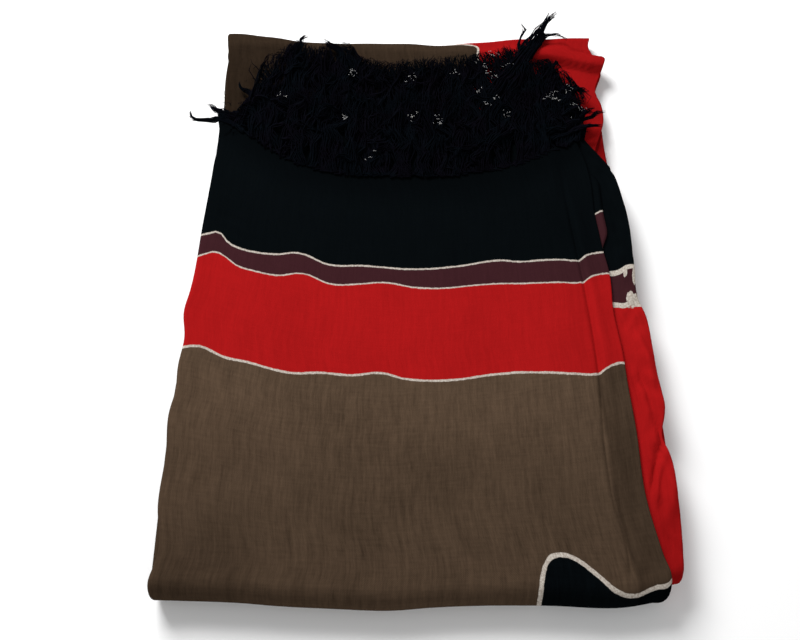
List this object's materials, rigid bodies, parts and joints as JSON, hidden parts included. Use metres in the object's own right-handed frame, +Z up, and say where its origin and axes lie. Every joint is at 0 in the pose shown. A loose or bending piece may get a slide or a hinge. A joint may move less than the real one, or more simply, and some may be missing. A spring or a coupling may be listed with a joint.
{
  "type": "folded sarong",
  "caption": "Thin wrap cloth with a fringe at each short end, folded in half and half again both ways into a flat pile that lies on a table or shelf",
  "frame": {"origin": "middle of the bounding box in plan, on the surface the pile lies on", "axes": "+X to the right across the pile, along its short sides; +Y along the pile from its rounded near fold to the far fold with the fringe; +Z up from the surface"},
  "size_m": [0.3092, 0.4566, 0.0238],
  "materials": {
    "cloth": "matte thin woven viscose, dyed in grey-brown, red, dark maroon and black areas with off-white lines",
    "fringe": "matte black loose yarn"
  },
  "bodies": {
    "root": {"cloth": "cloth", "fringe_top": "fringe", "fringe_under": "fringe"}
  },
  "joints": []
}
